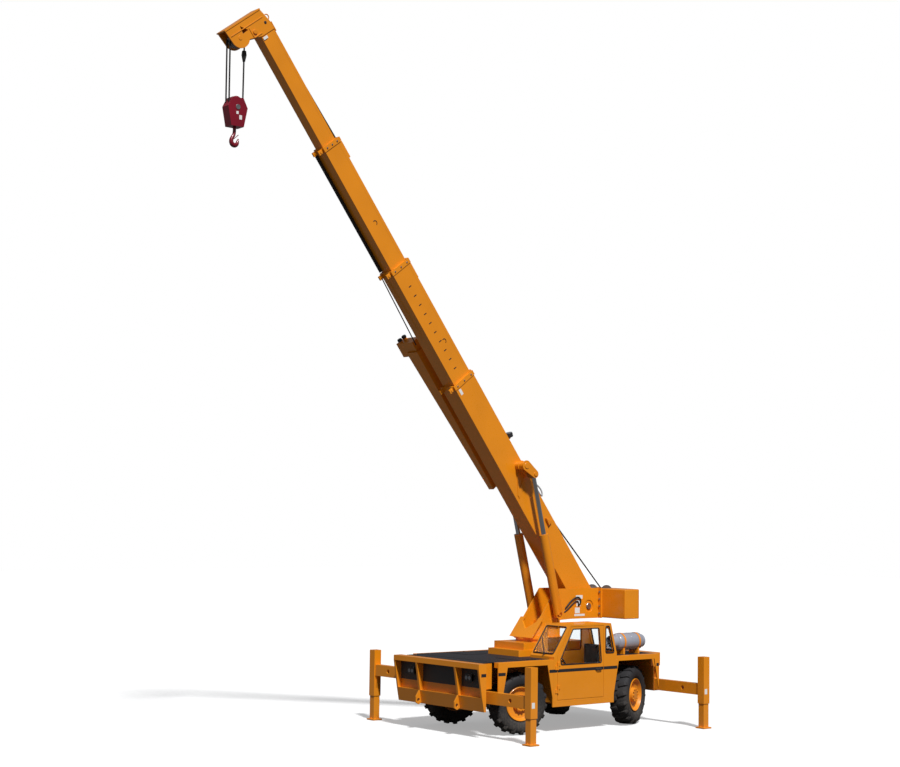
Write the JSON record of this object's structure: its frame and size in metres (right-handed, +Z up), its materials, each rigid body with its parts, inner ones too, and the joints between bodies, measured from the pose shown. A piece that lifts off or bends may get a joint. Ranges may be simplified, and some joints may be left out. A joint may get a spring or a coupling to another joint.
{
  "type": "mobile industrial crane",
  "caption": "Four-wheel industrial deck crane with a low side cab, box-beam outriggers and a slewing telescopic boom raised with its hook block hanging.",
  "frame": {"origin": "on the ground under the middle of the whole machine, boom included", "axes": "+X forward, +Y the crane's left, +Z up"},
  "size_m": [9.801, 4.747, 12.6953],
  "materials": {
    "paint": "gloss",
    "deck_paint": "rough",
    "frame_paint": "satin",
    "hook_paint": "satin",
    "tank_paint": "satin",
    "engine": "rough",
    "steel": "satin",
    "rod_chrome": "polished",
    "rope": "rough",
    "tyre": "matte",
    "glass": "clear",
    "seat": "matte",
    "plastic": "matte"
  },
  "bodies": {
    "chassis": {"chassis_frame": "frame_paint", "body_sides": "paint", "deck": "deck_paint", "pedestal": "paint", "front_bumper": "paint", "lamp_panels": "plastic", "headlamps": "glass", "rear_end": "paint", "engine_block": "engine", "side_tank": "paint", "cab_shell": "paint", "cab_glass": "glass", "seat": "seat", "console": "plastic", "gas_tank": "tank_paint", "tank_bracket": "paint", "front_axle": "frame_paint", "rear_axle": "frame_paint"},
    "cab_door": {"cab_door": "paint", "door_glass": "glass"},
    "turret": {"turret": "paint", "counterweight": "paint", "winch": "steel"},
    "boom_base": {"boom_base": "paint", "stowed_jib": "paint"},
    "boom_2": {"boom_2": "paint"},
    "boom_3": {"boom_3": "paint"},
    "boom_4": {"boom_4": "paint", "head_sheaves": "steel"},
    "lift_barrels": {"lift_barrels": "paint"},
    "lift_rods": {"lift_rods": "rod_chrome"},
    "hook_block": {"hook_block": "hook_paint", "hook_falls": "rope"},
    "hook": {"hook": "hook_paint"},
    "front_left_knuckle": {"front_left_knuckle": "frame_paint"},
    "front_left_wheel": {"front_left_rim": "paint", "front_left_tyre": "tyre"},
    "front_right_knuckle": {"front_right_knuckle": "frame_paint"},
    "front_right_wheel": {"front_right_rim": "paint", "front_right_tyre": "tyre"},
    "rear_left_knuckle": {"rear_left_knuckle": "frame_paint"},
    "rear_left_wheel": {"rear_left_rim": "paint", "rear_left_tyre": "tyre"},
    "rear_right_knuckle": {"rear_right_knuckle": "frame_paint"},
    "rear_right_wheel": {"rear_right_rim": "paint", "rear_right_tyre": "tyre"},
    "front_left_beam": {"front_left_beam": "paint"},
    "front_left_jack": {"front_left_jack": "paint"},
    "front_right_beam": {"front_right_beam": "paint"},
    "front_right_jack": {"front_right_jack": "paint"},
    "rear_left_beam": {"rear_left_beam": "paint"},
    "rear_left_jack": {"rear_left_jack": "paint"},
    "rear_right_beam": {"rear_right_beam": "paint"},
    "rear_right_jack": {"rear_right_jack": "paint"}
  },
  "joints": [
    {"name": "front_left_steer", "type": "hinge", "parent": "chassis", "child": "front_left_knuckle", "pos_m": [-1.18797, 0.88, 0.57], "axis": [0, 0, 1], "range_deg": [-18, 42]},
    {"name": "front_left_spin", "type": "hinge", "parent": "front_left_knuckle", "child": "front_left_wheel", "pos_m": [-1.16926, 0.96803, 0.57], "axis": [0.2079, 0.9781, 0], "continuous": true},
    {"name": "front_right_steer", "type": "hinge", "parent": "chassis", "child": "front_right_knuckle", "pos_m": [-1.18797, -0.88, 0.57], "axis": [0, 0, 1], "range_deg": [-18, 42]},
    {"name": "front_right_spin", "type": "hinge", "parent": "front_right_knuckle", "child": "front_right_wheel", "pos_m": [-1.20668, -0.96803, 0.57], "axis": [0.2079, 0.9781, 0], "continuous": true},
    {"name": "rear_left_steer", "type": "hinge", "parent": "chassis", "child": "rear_left_knuckle", "pos_m": [-4.02197, 0.88, 0.57], "axis": [0, 0, 1], "range_deg": [-53, 7]},
    {"name": "rear_left_spin", "type": "hinge", "parent": "rear_left_knuckle", "child": "rear_left_wheel", "pos_m": [-4.05714, 0.96285, 0.57], "axis": [-0.3907, 0.9205, 0], "continuous": true},
    {"name": "rear_right_steer", "type": "hinge", "parent": "chassis", "child": "rear_right_knuckle", "pos_m": [-4.02197, -0.88, 0.57], "axis": [0, 0, 1], "range_deg": [-53, 7]},
    {"name": "rear_right_spin", "type": "hinge", "parent": "rear_right_knuckle", "child": "rear_right_wheel", "pos_m": [-3.98681, -0.96285, 0.57], "axis": [-0.3907, 0.9205, 0], "continuous": true},
    {"name": "cab_door_hinge", "type": "hinge", "parent": "chassis", "child": "cab_door", "pos_m": [-1.92797, 1.261, 1.25], "axis": [0, 0, -1], "range_deg": [0, 80]},
    {"name": "turret_slew", "type": "hinge", "parent": "chassis", "child": "turret", "pos_m": [-2.56497, 0, 1.65], "axis": [0, 0, 1], "continuous": true},
    {"name": "boom_luff", "type": "hinge", "parent": "turret", "child": "boom_base", "pos_m": [-3.68531, 0, 2.24794], "axis": [0, -1, 0], "range_deg": [-52.5, 25.5]},
    {"name": "boom_2_extend", "type": "slide", "parent": "boom_base", "child": "boom_2", "axis": [0.6088, 0, 0.7934], "range_m": [-1.95, 1.75]},
    {"name": "boom_3_extend", "type": "slide", "parent": "boom_2", "child": "boom_3", "axis": [0.6088, 0, 0.7934], "range_m": [-1.95, 1.75]},
    {"name": "boom_4_extend", "type": "slide", "parent": "boom_3", "child": "boom_4", "axis": [0.6088, 0, 0.7934], "range_m": [-1.95, 1.75]},
    {"name": "lift_barrel_tilt", "type": "hinge", "parent": "turret", "child": "lift_barrels", "pos_m": [-2.75497, 0, 2.12], "axis": [0, -1, 0], "range_deg": [-60.6, 29.69]},
    {"name": "lift_rod_extend", "type": "slide", "parent": "lift_barrels", "child": "lift_rods", "axis": [0.2505, 0, 0.9681], "range_m": [-0.7385, 0.3597]},
    {"name": "hook_swing", "type": "hinge", "parent": "boom_4", "child": "hook_block", "pos_m": [4.57374, 0, 12.10131], "axis": [0, -1, 0], "range_deg": [-25.6, 52.6]},
    {"name": "hook_swivel", "type": "hinge", "parent": "hook_block", "child": "hook", "pos_m": [4.57374, 0, 10.5], "axis": [0, 0, 1], "continuous": true},
    {"name": "front_left_beam_slide", "type": "slide", "parent": "chassis", "child": "front_left_beam", "axis": [0, 1, 0], "range_m": [-1.1, 0]},
    {"name": "front_left_jack_slide", "type": "slide", "parent": "front_left_beam", "child": "front_left_jack", "axis": [0, 0, 1], "range_m": [0, 0.4]},
    {"name": "front_right_beam_slide", "type": "slide", "parent": "chassis", "child": "front_right_beam", "axis": [0, -1, 0], "range_m": [-1.1, 0]},
    {"name": "front_right_jack_slide", "type": "slide", "parent": "front_right_beam", "child": "front_right_jack", "axis": [0, 0, 1], "range_m": [0, 0.4]},
    {"name": "rear_left_beam_slide", "type": "slide", "parent": "chassis", "child": "rear_left_beam", "axis": [0, 1, 0], "range_m": [-1.1, 0]},
    {"name": "rear_left_jack_slide", "type": "slide", "parent": "rear_left_beam", "child": "rear_left_jack", "axis": [0, 0, 1], "range_m": [0, 0.4]},
    {"name": "rear_right_beam_slide", "type": "slide", "parent": "chassis", "child": "rear_right_beam", "axis": [0, -1, 0], "range_m": [-1.1, 0]},
    {"name": "rear_right_jack_slide", "type": "slide", "parent": "rear_right_beam", "child": "rear_right_jack", "axis": [0, 0, 1], "range_m": [0, 0.4]}
  ],
  "couplings": [
    {"joint": "front_right_steer", "follows": "front_left_steer", "ratio": 1},
    {"joint": "rear_right_steer", "follows": "rear_left_steer", "ratio": 1},
    {"joint": "boom_3_extend", "follows": "boom_2_extend", "ratio": 1},
    {"joint": "boom_4_extend", "follows": "boom_2_extend", "ratio": 1},
    {"joint": "lift_barrel_tilt", "follows": "boom_luff", "ratio": 1.1448},
    {"joint": "lift_rod_extend", "follows": "boom_luff", "m_per_rad": 0.8038},
    {"joint": "hook_swing", "follows": "boom_luff", "ratio": -1}
  ]
}
